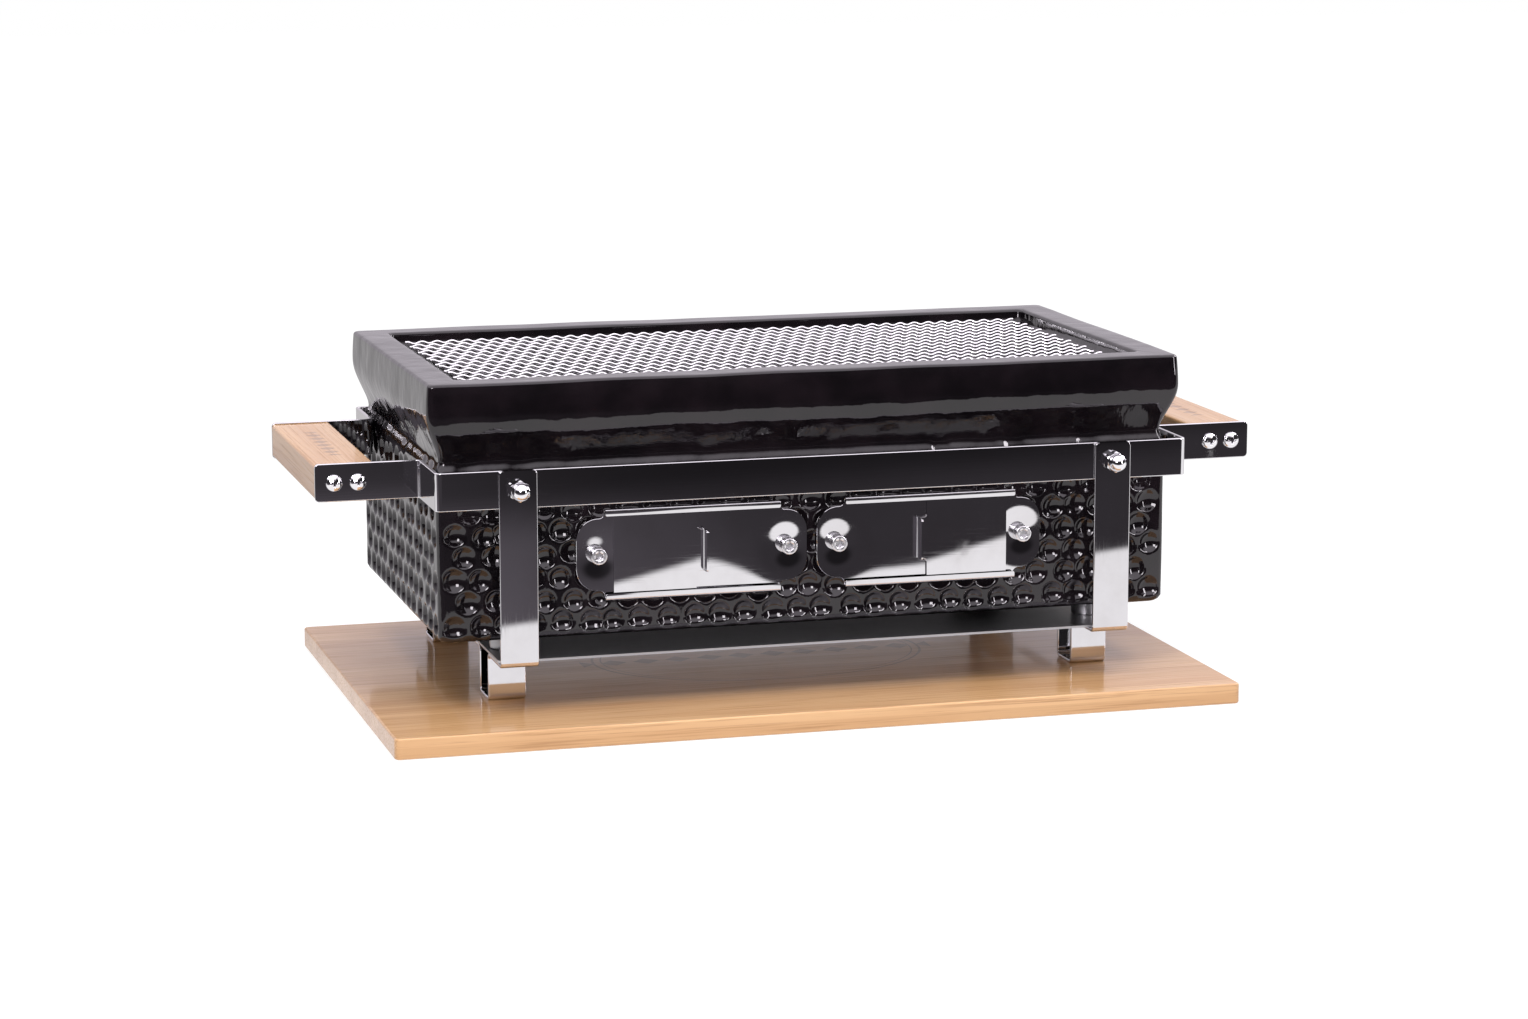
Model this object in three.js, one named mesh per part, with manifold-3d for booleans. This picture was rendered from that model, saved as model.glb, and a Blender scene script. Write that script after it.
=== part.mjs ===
// A table-top hibachi grill. A glazed clay firebox with a cooking mesh and two sliding air vents
// hangs in a bent steel frame with wooden handles, and the frame stands on a wooden board.
// Millimetres, +Z up. The origin is on the board's underside, below the middle of the firebox.
import * as THREE from "three";
import { mergeVertices } from "three/addons/utils/BufferGeometryUtils.js";
import Module from "manifold-3d";

// Board. The grill stands a little off its middle.
const boardWidth = 456;
const boardDepth = 280;
const boardThickness = 11;
const boardCornerRadius = 3;
const boardOffsetX = -6;
const boardOffsetY = -22;

// Every height below is measured from the board's top face.
// Firebox walls. Offsets are outwards from the plain wall, or inwards when negative.
const fireboxWidth = 399;
const fireboxDepth = 209;
const fireboxBottom = 34;
const fireboxTop = 170;
const fireboxCorner = 3;
const footInset = 2.5;
const footHeight = 4;
const wallTop = 122;
const neckHeight = 129;
const neckOffset = -2;
const bulgeHeight = 154;
const bulgeOffset = 5.4;
const rimOuterOffset = 4.8;
const rimInnerOffset = -13;
const rimRounding = 1.8;
const meshLedgeHeight = 162.5;
const chamberOffset = -25.5;
const grateLedgeHeight = 104;
const ashPitOffset = -37;
const fireboxFloorHeight = 52;

// Cooking mesh and charcoal grate, both resting on ledges inside the firebox.
const meshWidth = 358;
const meshDepth = 170;
const meshThickness = 4;
const grateWidth = 345;
const grateDepth = 155;
const grateThickness = 2.5;
const grateCorner = 8;
const grateSlotWidth = 8;
const grateSlotLength = 56;
const grateSlotPitch = 20;
const grateSlotsPerRow = 15;
const grateRowSpacing = 68;

// Frame, bent from flat steel strip. It sits forwards of the firebox to leave room for the vents.
const frameOffsetY = -8;
const stripWidth = 20;
const stripThickness = 2;
const bendRadius = 1.5;
const stripCornerRadius = 2;
const bandHeight = 117;
const bandHalfLength = 204;
const bandHalfDepth = 115.5;
const armHalfLength = 258;
const armHalfSpread = 71;

// Leg straps, which run down the front, under the firebox and up the back.
const legCentre = 161.5;
const legRunHeight = 24;
const footFront = 85;
const footBack = 62.5;

// Heat shield and the spacers that keep the firebox off it.
const shieldWidth = 343;
const shieldDepth = 224;
const shieldThickness = 1.2;
const spacerRadius = 8;
const spacerSpread = 80;

// Handles and their screws.
const handleWidth = 32;
const handleHeight = 18;
const handleRounding = 1.5;
const handleScrewSpacing = 12.4;
const handleScrewHeadRadius = 4.3;
const handleScrewHeadHeight = 2.8;
const handleScrewRadius = 1.9;
const handleScrewLength = 24;

// Studs and dome nuts that hold the leg straps on the bands.
const studRadius = 3;
const studReach = 7;
const nutAcrossFlats = 10;
const nutHexHeight = 5;
const nutDomeRadius = 4.6;
const nutHeight = 11.5;

// Vents: a plate with two ears, folded rails and a sliding door.
const ventCentre = 65;
const ventHeight = 77.5;
const ventSheet = 1;
const ventPlaneY = -106.3;
const ventWidth = 124.6;
const earHeight = 38;
const earRadius = 11.5;
const earFillet = 3;
const railLength = 94.4;
const railSpan = 48;
const railReach = 4;
const railLip = 3.5;
const portWidth = 34;
const portHeight = 34;
const portOffset = 22.5;
const doorWidth = 44.4;
const doorOffset = 20.5;
const doorGap = 0.4;
const doorTongueReach = 5;
const doorTabHeight = 22;
const doorTabReach = 7;
const ventScrewSpread = 51.3;
const ventScrewHeadRadius = 4.3;
const ventScrewHeadHeight = 5.5;
const ventScrewRadius = 2.5;
const ventScrewLength = 14;
const ventSocketAcross = 4;

const holeClearance = 0.3;
const quarterTurn = Math.PI / 2;
const roundSteps = 16;

const ceramic = { color: 0x0b090b, roughness: 0.12, metalness: 0 };
const bamboo = { color: 0xc8965a, roughness: 0.45, metalness: 0 };
const polishedSteel = { color: 0xc8c8cc, roughness: 0.12, metalness: 1 };
const satinSteel = { color: 0xb4b2b0, roughness: 0.32, metalness: 1 };
const bareSteel = { color: 0x8d8b89, roughness: 0.45, metalness: 1 };

const wasm = await Module();
wasm.setup();

// A closed three.js geometry as a manifold-3d solid.
function solid(geometry) {
  const bare = geometry.index ? geometry.toNonIndexed() : geometry.clone();
  bare.deleteAttribute("normal");
  bare.deleteAttribute("uv");
  const merged = mergeVertices(bare, 1e-3);
  const vertProperties = new Float32Array(merged.attributes.position.array);
  const triVerts = new Uint32Array(merged.index.array);
  return new wasm.Manifold(new wasm.Mesh({ numProp: 3, vertProperties, triVerts }));
}

// A manifold-3d solid as a three.js geometry.
function geometryOf(body) {
  const { vertProperties, triVerts } = body.getMesh();
  const geometry = new THREE.BufferGeometry();
  geometry.setAttribute("position", new THREE.BufferAttribute(vertProperties, 3));
  geometry.setIndex(new THREE.BufferAttribute(triVerts, 1));
  geometry.computeVertexNormals();
  return geometry;
}

function mesh(name, geometry, look) {
  const made = new THREE.Mesh(geometry, new THREE.MeshStandardMaterial(look));
  made.name = name;
  return made;
}

function box(width, depth, height, x, y, z) {
  return solid(new THREE.BoxGeometry(width, depth, height).translate(x, y, z));
}

// A cylinder standing on +Z, from height low to height high.
function rod(radius, low, high, x = 0, y = 0, steps = roundSteps) {
  const geometry = new THREE.CylinderGeometry(radius, radius, high - low, steps);
  return solid(geometry.rotateX(quarterTurn).translate(x, y, (low + high) / 2));
}

// A cylinder along Y through (x, z), long enough to pass through a whole wall at y.
function crossRod(radius, length, x, y, z) {
  return solid(new THREE.CylinderGeometry(radius, radius, length, roundSteps).translate(x, y, z));
}

function roundedRectangle(width, height, radius) {
  const right = width / 2 - radius;
  const top = height / 2 - radius;
  const shape = new THREE.Shape();
  shape.moveTo(right, -height / 2);
  shape.absarc(right, -top, radius, -quarterTurn, 0);
  shape.absarc(right, top, radius, 0, quarterTurn);
  shape.absarc(-right, top, radius, quarterTurn, 2 * quarterTurn);
  shape.absarc(-right, -top, radius, 2 * quarterTurn, 3 * quarterTurn);
  return shape;
}

function extruded(shape, depth, curveSegments = 2) {
  return new THREE.ExtrudeGeometry(shape, { depth, curveSegments, bevelEnabled: false });
}

// The outline of a strip seen on edge: it follows the path of its middle line,
// with every corner bent round to the bend radius.
function stripOutline(path) {
  const half = stripThickness / 2;
  const bend = bendRadius + half;
  const points = path.map(([x, y]) => new THREE.Vector2(x, y));
  const headings = points.slice(1).map((point, i) => point.clone().sub(points[i]).normalize());
  const leftOf = (heading) => new THREE.Vector2(-heading.y, heading.x);
  const beside = (point, heading, side) => point.clone().addScaledVector(leftOf(heading), side * half);
  const bends = headings.slice(1).map((heading, i) => {
    const before = headings[i];
    const turn = Math.sign(before.cross(heading));
    const centre = points[i + 1].clone();
    centre.addScaledVector(before, -bend).addScaledVector(leftOf(before), turn * bend);
    const start = leftOf(before).multiplyScalar(-turn).angle();
    return { centre, turn, start, end: start + turn * quarterTurn };
  });
  const shape = new THREE.Shape();
  const corner = (at, side, forwards) => {
    const radius = bend - side * at.turn * half;
    const [from, to] = forwards ? [at.start, at.end] : [at.end, at.start];
    shape.lineTo(at.centre.x + radius * Math.cos(from), at.centre.y + radius * Math.sin(from));
    shape.absarc(at.centre.x, at.centre.y, radius, from, to, to < from);
  };
  const firstHeading = headings[0];
  const lastHeading = headings[headings.length - 1];
  const lastPoint = points[points.length - 1];
  const leftStart = beside(points[0], firstHeading, 1);
  const leftEnd = beside(lastPoint, lastHeading, 1);
  const rightEnd = beside(lastPoint, lastHeading, -1);
  const rightStart = beside(points[0], firstHeading, -1);
  shape.moveTo(leftStart.x, leftStart.y);
  bends.forEach((at) => corner(at, 1, true));
  shape.lineTo(leftEnd.x, leftEnd.y);
  shape.lineTo(rightEnd.x, rightEnd.y);
  bends.toReversed().forEach((at) => corner(at, -1, false));
  shape.lineTo(rightStart.x, rightStart.y);
  return shape;
}

// A rectangular ring with rounded corners and the given wall profile of [offset, height] points.
// It starts as a turned ring; each quarter of the turn is then moved out to its own corner.
function rectangularRing(profile, halfWidth, halfDepth, radius) {
  const turnedRadius = 100;
  const cornerSteps = 5;
  const segments = 4 * (cornerSteps + 1);
  const step = (4 * quarterTurn) / segments;
  const outline = profile.map(([offset, height]) => new THREE.Vector2(turnedRadius + offset, height));
  const ring = new THREE.LatheGeometry(outline, segments, step / 2);
  ring.rotateX(quarterTurn);
  const position = ring.attributes.position;
  for (let i = 0; i < position.count; i += 1) {
    const x = position.getX(i);
    const y = position.getY(i);
    const offset = Math.hypot(x, y) - turnedRadius;
    const share = (Math.atan2(Math.abs(y), Math.abs(x)) - step / 2) / (quarterTurn - step);
    const angle = quarterTurn * THREE.MathUtils.clamp(share, 0, 1);
    position.setX(i, Math.sign(x) * (halfWidth + offset - radius + radius * Math.cos(angle)));
    position.setY(i, Math.sign(y) * (halfDepth + offset - radius + radius * Math.sin(angle)));
  }
  return ring;
}

function servingBoard() {
  const bevel = 1;
  const face = roundedRectangle(
    boardWidth - 2 * bevel,
    boardDepth - 2 * bevel,
    boardCornerRadius - bevel,
  );
  const geometry = new THREE.ExtrudeGeometry(face, {
    depth: boardThickness - 2 * bevel,
    bevelThickness: bevel,
    bevelSize: bevel,
    bevelSegments: 1,
    curveSegments: 2,
  });
  geometry.translate(boardOffsetX, boardOffsetY, bevel);
  return mesh("serving_board", geometry, bamboo);
}

// The wall of the firebox in section: up the outside, over the rim, and down the stepped inside.
function fireboxProfile() {
  const outside = [[-footInset, fireboxBottom], [0, fireboxBottom + footHeight], [0, wallTop]];
  const flare = [0, 0.2, 0.4, 0.6, 0.8, 1].map((share) => [
    neckOffset + (bulgeOffset - neckOffset) * Math.sin(share * quarterTurn) ** 1.5,
    THREE.MathUtils.lerp(neckHeight, bulgeHeight, share),
  ]);
  const rim = [
    [rimOuterOffset, fireboxTop - rimRounding],
    [rimOuterOffset - rimRounding * 0.3, fireboxTop - rimRounding * 0.3],
    [rimOuterOffset - rimRounding, fireboxTop],
    [rimInnerOffset + rimRounding, fireboxTop],
    [rimInnerOffset + rimRounding * 0.3, fireboxTop - rimRounding * 0.3],
    [rimInnerOffset, fireboxTop - rimRounding],
  ];
  const inside = [
    [rimInnerOffset, meshLedgeHeight],
    [chamberOffset, meshLedgeHeight],
    [chamberOffset, grateLedgeHeight],
    [ashPitOffset, grateLedgeHeight],
    [ashPitOffset, fireboxBottom],
    [-footInset, fireboxBottom],
  ];
  return [...outside, ...flare, ...rim, ...inside];
}

function firebox() {
  const halfWidth = fireboxWidth / 2;
  const halfDepth = fireboxDepth / 2;
  const inlay = 1;
  let body = solid(rectangularRing(fireboxProfile(), halfWidth, halfDepth, fireboxCorner));

  const floorOutline = roundedRectangle(
    fireboxWidth + 2 * (ashPitOffset + inlay),
    fireboxDepth + 2 * (ashPitOffset + inlay),
    fireboxCorner,
  );
  const floor = extruded(floorOutline, fireboxFloorHeight - fireboxBottom);
  body = body.add(solid(floor.translate(0, 0, fireboxBottom)));

  for (const side of [-1, 1]) {
    // A flat pad carries each vent plate, and an air port runs through it into the ash pit.
    const padDepth = -halfDepth - ventPlaneY + inlay;
    const pad = extruded(ventOutline(-1.5), padDepth).rotateX(quarterTurn);
    body = body.add(solid(pad.translate(side * ventCentre, -halfDepth + inlay, ventHeight)));
    const wall = 60;
    const portX = side * (ventCentre + portOffset);
    body = body.subtract(box(portWidth, wall, portHeight, portX, -halfDepth, ventHeight));
    for (const end of [-1, 1]) {
      const x = side * ventCentre + end * ventScrewSpread;
      const length = 2 * (ventScrewLength + 1);
      body = body.subtract(
        crossRod(ventScrewRadius + holeClearance, length, x, ventPlaneY, ventHeight),
      );
    }
  }
  return mesh("firebox", geometryOf(body), ceramic);
}

function grillMesh() {
  const slab = extruded(roundedRectangle(meshWidth, meshDepth, 1), meshThickness, 1);
  const made = mesh("grill_mesh", slab, polishedSteel);
  made.position.z = meshLedgeHeight;
  return made;
}

function charcoalGrate() {
  const plate = roundedRectangle(grateWidth, grateDepth, grateCorner);
  for (const row of [-1, 1]) {
    for (let i = 0; i < grateSlotsPerRow; i += 1) {
      const x = (i - (grateSlotsPerRow - 1) / 2) * grateSlotPitch;
      const slot = roundedRectangle(grateSlotWidth, grateSlotLength, grateSlotWidth / 2 - 0.1);
      const points = slot.getPoints(1).map((p) => p.add(new THREE.Vector2(x, row * grateRowSpacing / 2)));
      plate.holes.push(new THREE.Path(points));
    }
  }
  const made = mesh("charcoal_grate", extruded(plate, grateThickness), bareSteel);
  made.position.z = grateLedgeHeight;
  return made;
}

// The outline of a vent plate: a block as long as the rails with a rounded ear at each end.
function ventOutline(grow = 0) {
  const block = { x: railLength / 2 + grow, y: railSpan / 2 + grow };
  const ear = { x: ventWidth / 2 + grow, y: earHeight / 2 + grow };
  const radius = earRadius + grow;
  const shape = new THREE.Shape();
  shape.moveTo(-block.x, -block.y);
  shape.lineTo(block.x, -block.y);
  shape.absarc(block.x + earFillet, -ear.y - earFillet, earFillet, Math.PI, quarterTurn, true);
  shape.absarc(ear.x - radius, -ear.y + radius, radius, -quarterTurn, 0);
  shape.absarc(ear.x - radius, ear.y - radius, radius, 0, quarterTurn);
  shape.absarc(block.x + earFillet, ear.y + earFillet, earFillet, -quarterTurn, -Math.PI, true);
  shape.lineTo(block.x, block.y);
  shape.lineTo(-block.x, block.y);
  shape.absarc(-block.x - earFillet, ear.y + earFillet, earFillet, 0, -quarterTurn, true);
  shape.absarc(-ear.x + radius, ear.y - radius, radius, quarterTurn, Math.PI);
  shape.absarc(-ear.x + radius, -ear.y + radius, radius, Math.PI, 3 * quarterTurn);
  shape.absarc(-block.x - earFillet, -ear.y - earFillet, earFillet, quarterTurn, 0, true);
  return shape;
}

// The pieces of a vent lie flat: x to the side, y up the firebox and z out of its front.
function ventPlate(name, side) {
  let plate = solid(extruded(ventOutline(), ventSheet, 3));
  for (const edge of [-1, 1]) {
    const flangeY = edge * (railSpan - ventSheet) / 2;
    const lipY = edge * (railSpan - railLip) / 2;
    plate = plate.add(box(railLength, ventSheet, railReach, 0, flangeY, railReach / 2));
    plate = plate.add(box(railLength, railLip, ventSheet, 0, lipY, railReach - ventSheet / 2));
  }
  plate = plate.subtract(box(portWidth + 2, portHeight + 2, 4 * ventSheet, side * portOffset, 0, 0));
  for (const end of [-1, 1]) {
    const hole = rod(ventScrewRadius + holeClearance, -ventSheet, 2 * ventSheet, end * ventScrewSpread);
    plate = plate.subtract(hole);
  }
  return mesh(name, geometryOf(plate), polishedSteel);
}

// The door is a sheet behind the rails. A tongue on its inner edge is bent out as a finger tab.
function ventDoor(name, side) {
  const height = railSpan - 2 * ventSheet - 2 * doorGap;
  const back = ventSheet + doorGap;
  const middle = back + ventSheet / 2;
  const tip = doorOffset - doorWidth / 2 - doorTongueReach;
  const tongueX = side * (tip + doorTongueReach);
  const tabX = side * (tip + ventSheet / 2);
  const sheet = box(doorWidth, height, ventSheet, side * doorOffset, 0, middle);
  const tongue = box(2 * doorTongueReach, doorTabHeight, ventSheet, tongueX, 0, middle);
  const tab = box(ventSheet, doorTabHeight, doorTabReach, tabX, 0, back + doorTabReach / 2);
  return mesh(name, geometryOf(sheet.add(tongue).add(tab)), polishedSteel);
}

function ventScrew(name) {
  const seat = ventSheet + 0.05;
  const top = seat + ventScrewHeadHeight;
  const head = [
    [0, -ventScrewLength],
    [ventScrewRadius, -ventScrewLength],
    [ventScrewRadius, seat],
    [ventScrewHeadRadius, seat],
    [ventScrewHeadRadius, top - 0.6],
    [ventScrewHeadRadius - 0.6, top],
    [0, top],
  ].map(([x, y]) => new THREE.Vector2(x, y));
  const turned = new THREE.LatheGeometry(head, roundSteps).rotateX(quarterTurn);
  const socket = rod(ventSocketAcross / Math.sqrt(3), top - 3, top + 1, 0, 0, 6);
  return mesh(name, geometryOf(solid(turned).subtract(socket)), satinSteel);
}

function vent(label, side) {
  const group = new THREE.Group();
  group.position.set(side * ventCentre, ventPlaneY, ventHeight);
  group.rotation.x = quarterTurn;
  group.add(ventPlate("vent_plate_" + label, side), ventDoor("vent_door_" + label, side));
  for (const [place, end] of [["inner", -1], ["outer", 1]]) {
    const screw = ventScrew("vent_screw_" + label + "_" + place);
    screw.position.x = side * end * ventScrewSpread;
    group.add(screw);
  }
  return group;
}

// One band with its handle arms, seen from above: it wraps an end of the firebox on each side.
function band(name, end) {
  const half = stripThickness / 2;
  const armY = end * (armHalfSpread - half);
  const bandY = end * (bandHalfDepth - half);
  const corner = bandHalfLength - half;
  const path = [
    [-armHalfLength, armY],
    [-corner, armY],
    [-corner, bandY],
    [corner, bandY],
    [corner, armY],
    [armHalfLength, armY],
  ];
  const strip = extruded(stripOutline(path), stripWidth);
  let body = solid(strip.translate(0, 0, bandHeight - stripWidth / 2));
  const face = roundedRectangle(2 * armHalfLength, stripWidth, stripCornerRadius);
  const trim = extruded(face, 2 * bandHalfDepth + 10).rotateX(quarterTurn);
  body = body.intersect(solid(trim.translate(0, bandHalfDepth + 5, bandHeight)));
  for (const side of [-1, 1]) {
    const length = 4 * stripThickness;
    body = body.subtract(
      crossRod(studRadius + holeClearance, length, side * legCentre, bandY, bandHeight),
    );
    for (const screw of [-0.5, 0.5]) {
      const x = side * (armHalfLength - handleWidth / 2) + screw * handleScrewSpacing;
      body = body.subtract(crossRod(handleScrewRadius + holeClearance, length, x, armY, bandHeight));
    }
  }
  return mesh(name, geometryOf(body), polishedSteel);
}

function handle(name, side) {
  const length = 2 * (armHalfSpread - stripThickness);
  const section = roundedRectangle(handleWidth, handleHeight, handleRounding);
  let body = solid(extruded(section, length).rotateX(quarterTurn).translate(0, length / 2, 0));
  for (const screw of [-0.5, 0.5]) {
    for (const end of [-1, 1]) {
      const x = screw * handleScrewSpacing;
      const deep = 2 * (handleScrewLength + 1);
      const hole = crossRod(handleScrewRadius + holeClearance, deep, x, end * length / 2, 0);
      body = body.subtract(hole);
    }
  }
  const made = mesh(name, geometryOf(body), bamboo);
  made.position.set(side * (armHalfLength - handleWidth / 2), 0, bandHeight);
  return made;
}

// A domed cross-head screw, standing on +Z with the underside of its head at height 0.
function handleScrew(name) {
  const seat = 0.05;
  const top = handleScrewHeadHeight;
  const outline = [
    [0, -handleScrewLength],
    [handleScrewRadius, -handleScrewLength],
    [handleScrewRadius, seat],
    [handleScrewHeadRadius, seat],
    [handleScrewHeadRadius * 0.97, top * 0.4],
    [handleScrewHeadRadius * 0.8, top * 0.75],
    [handleScrewHeadRadius * 0.45, top * 0.97],
    [0, top],
  ].map(([x, y]) => new THREE.Vector2(x, y));
  const turned = solid(new THREE.LatheGeometry(outline, roundSteps).rotateX(quarterTurn));
  const recess = box(4.2, 1, 2, 0, 0, top).add(box(1, 4.2, 2, 0, 0, top));
  return mesh(name, geometryOf(turned.subtract(recess)), polishedSteel);
}

function handleScrews() {
  const group = new THREE.Group();
  for (const [sideName, side] of [["left", -1], ["right", 1]]) {
    for (const [endName, end] of [["front", -1], ["back", 1]]) {
      for (const [placeName, place] of [["outer", 0.5], ["inner", -0.5]]) {
        const screw = handleScrew(["handle_screw", sideName, endName, placeName].join("_"));
        const x = side * (armHalfLength - handleWidth / 2 + place * handleScrewSpacing);
        screw.position.set(x, end * armHalfSpread, bandHeight);
        screw.rotation.x = -end * quarterTurn;
        group.add(screw);
      }
    }
  }
  return group;
}

// One strap, bent from a single strip: down the front, back under the firebox with a drop for
// each foot, and up the back.
function legStrap(name, side) {
  const half = stripThickness / 2;
  const outer = bandHalfDepth + half;
  const run = legRunHeight + half;
  const top = bandHeight + stripWidth / 2;
  const frontHalf = [
    [-outer, top],
    [-outer, run],
    [-footFront + half, run],
    [-footFront + half, half],
    [-footBack - half, half],
    [-footBack - half, run],
  ];
  const backHalf = frontHalf.toReversed().map(([y, z]) => [-y, z]);
  const strip = extruded(stripOutline([...frontHalf, ...backHalf]), stripWidth);
  const toSide = new THREE.Matrix4().makeBasis(
    new THREE.Vector3(0, 1, 0),
    new THREE.Vector3(0, 0, 1),
    new THREE.Vector3(1, 0, 0),
  );
  let body = solid(strip.applyMatrix4(toSide).translate(-stripWidth / 2, 0, 0));
  const below = 2 * top;
  const face = roundedRectangle(stripWidth, below, stripCornerRadius);
  const trim = extruded(face, 2 * outer + 10).rotateX(quarterTurn);
  body = body.intersect(solid(trim.translate(0, outer + 5, 0)));
  body = body.subtract(crossRod(studRadius + holeClearance, 4 * outer, 0, 0, bandHeight));
  const made = mesh(name, geometryOf(body), satinSteel);
  made.position.x = side * legCentre;
  return made;
}

// A closed dome nut on +Z, with a blind hole for its stud.
function domeNut(name) {
  const hex = rod(nutAcrossFlats / Math.sqrt(3), 0.05, nutHexHeight, 0, 0, 6);
  const domeRise = nutHeight - nutDomeRadius;
  const arc = [0, 0.25, 0.5, 0.75].map((share) => [
    nutDomeRadius * Math.cos(share * quarterTurn),
    domeRise + nutDomeRadius * Math.sin(share * quarterTurn),
  ]);
  const outline = [[0, 1], [nutDomeRadius, 1], ...arc, [0, nutHeight]];
  const dome = new THREE.LatheGeometry(
    outline.map(([x, y]) => new THREE.Vector2(x, y)),
    roundSteps,
  );
  const chamfer = new THREE.CylinderGeometry(
    nutAcrossFlats / 2,
    nutAcrossFlats / 2 + 3,
    6,
    roundSteps,
  );
  const crown = solid(chamfer.rotateX(quarterTurn).translate(0, 0, nutHexHeight - 2.6));
  const bore = rod(studRadius + holeClearance / 2, -1, studReach + 1);
  const body = hex.intersect(crown).add(solid(dome.rotateX(quarterTurn))).subtract(bore);
  return mesh(name, geometryOf(body), polishedSteel);
}

function legFixings() {
  const group = new THREE.Group();
  for (const [sideName, side] of [["left", -1], ["right", 1]]) {
    for (const [endName, end] of [["front", -1], ["back", 1]]) {
      const place = sideName + "_" + endName;
      const nut = domeNut("dome_nut_" + place);
      const studLength = 2 * stripThickness + studReach;
      const stud = mesh(
        "leg_stud_" + place,
        geometryOf(rod(studRadius, studReach - studLength, studReach)),
        satinSteel,
      );
      for (const piece of [nut, stud]) {
        piece.position.set(side * legCentre, end * (bandHalfDepth + stripThickness), bandHeight);
        piece.rotation.x = -end * quarterTurn;
        group.add(piece);
      }
    }
  }
  return group;
}

function heatShield() {
  const sheet = extruded(roundedRectangle(shieldWidth, shieldDepth, 3), shieldThickness);
  const made = mesh("heat_shield", sheet, satinSteel);
  made.position.z = legRunHeight + stripThickness;
  return made;
}

function spacers() {
  const group = new THREE.Group();
  const low = legRunHeight + stripThickness + shieldThickness;
  for (const [sideName, side] of [["left", -1], ["right", 1]]) {
    for (const [endName, end] of [["front", -1], ["back", 1]]) {
      const pad = rod(spacerRadius, 0, fireboxBottom - low);
      const made = mesh("spacer_" + sideName + "_" + endName, geometryOf(pad), bareSteel);
      made.position.set(side * legCentre, end * spacerSpread, low);
      group.add(made);
    }
  }
  return group;
}

function frame() {
  const group = new THREE.Group();
  group.position.y = frameOffsetY;
  group.add(
    band("band_front", -1),
    band("band_back", 1),
    handle("handle_left", -1),
    handle("handle_right", 1),
    handleScrews(),
    legStrap("leg_strap_left", -1),
    legStrap("leg_strap_right", 1),
    legFixings(),
    heatShield(),
    spacers(),
  );
  return group;
}

const grill = new THREE.Group();
grill.position.z = boardThickness;
grill.add(
  frame(),
  firebox(),
  vent("left", -1),
  vent("right", 1),
  grillMesh(),
  charcoalGrate(),
);

const hibachi = new THREE.Group();
hibachi.add(servingBoard(), grill);

export default hibachi;
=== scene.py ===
"""A table-top hibachi grill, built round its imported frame. Metres, +Z up, vents facing -Y."""

import math
import random

import bmesh
import bpy
import numpy as np
from mathutils import Matrix, Vector, noise


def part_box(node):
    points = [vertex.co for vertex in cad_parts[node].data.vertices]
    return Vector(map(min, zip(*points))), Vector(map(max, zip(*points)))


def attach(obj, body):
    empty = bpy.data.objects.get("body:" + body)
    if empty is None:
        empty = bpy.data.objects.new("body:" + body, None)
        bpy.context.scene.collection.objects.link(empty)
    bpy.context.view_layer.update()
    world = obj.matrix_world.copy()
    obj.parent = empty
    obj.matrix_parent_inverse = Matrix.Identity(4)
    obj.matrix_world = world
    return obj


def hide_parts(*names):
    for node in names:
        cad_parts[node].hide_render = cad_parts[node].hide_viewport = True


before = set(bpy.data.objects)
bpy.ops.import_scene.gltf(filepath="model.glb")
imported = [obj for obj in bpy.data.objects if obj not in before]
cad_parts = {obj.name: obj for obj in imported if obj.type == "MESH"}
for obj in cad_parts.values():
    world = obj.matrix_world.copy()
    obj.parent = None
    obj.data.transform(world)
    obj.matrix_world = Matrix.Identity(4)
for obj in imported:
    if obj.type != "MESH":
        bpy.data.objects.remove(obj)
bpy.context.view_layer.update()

MM = 0.001
QUARTER = math.pi / 2
SQUARE = ((-1, -1), (1, -1), (1, 1), (-1, 1))
SIDES = (("left", -1), ("right", 1))
ENDS = (("front", -1), ("back", 1))
CORNERS = [f"{side}_{end}" for side, _ in SIDES for end, _ in ENDS]

# Sheet and strip.
STRIP_THICKNESS = 2 * MM
STRIP_BEND = 2.5 * MM
STRIP_EDGE = 0.55 * MM
STRIP_CORNER = 2 * MM
RIM_PAST_BEND = 1.9 * MM
SHEET = 1 * MM
SHEET_EDGE = 0.15 * MM

# Heads of the screws and nuts, from their seats up.
SCREW_RISE = 2.8 * MM
NUT_HEIGHT = 11.5 * MM
SOCKET_RISE = 6.55 * MM

# Vents. Places are from the middle of a vent plate, along it or up.
VENT_HALF_LENGTH = 47.2 * MM
VENT_HALF_HEIGHT = 24 * MM
EAR_REACH = 62.3 * MM
EAR_HALF_HEIGHT = 19 * MM
WINDOW_CENTRE = 22.5 * MM
WINDOW_HALF = 18 * MM
PORT_HALF = 17 * MM
PAD_INSET = 1.5 * MM
DENT_REACH = 11 * MM
DENT_DEPTH = 0.8 * MM
PLATE_LEAN_REACH = 30 * MM
PLATE_LEAN_INWARDS = 4 * MM

# Firebox. Offsets are outwards from the plain wall, depths are below the top of the rim.
FOOT_INSET = 2.5 * MM
FOOT_HEIGHT = 4 * MM
WALL_TOP_DEPTH = 48 * MM
NECK_DEPTH = 41 * MM
NECK_OFFSET = -2 * MM
BULGE_DEPTH = 16 * MM
BULGE = 5.4 * MM
RIM_OUTER = 4.8 * MM
RIM_INNER = -13 * MM
RIM_ROUNDING = 1.8 * MM
CHAMBER = -25.5 * MM
ASH_PIT = -37 * MM
PIT_FLOOR_RISE = 18 * MM
CAP_OFFSET = -70 * MM
WALL_CORNER = 3 * MM
WALL_STEP = 0.8 * MM

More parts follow.
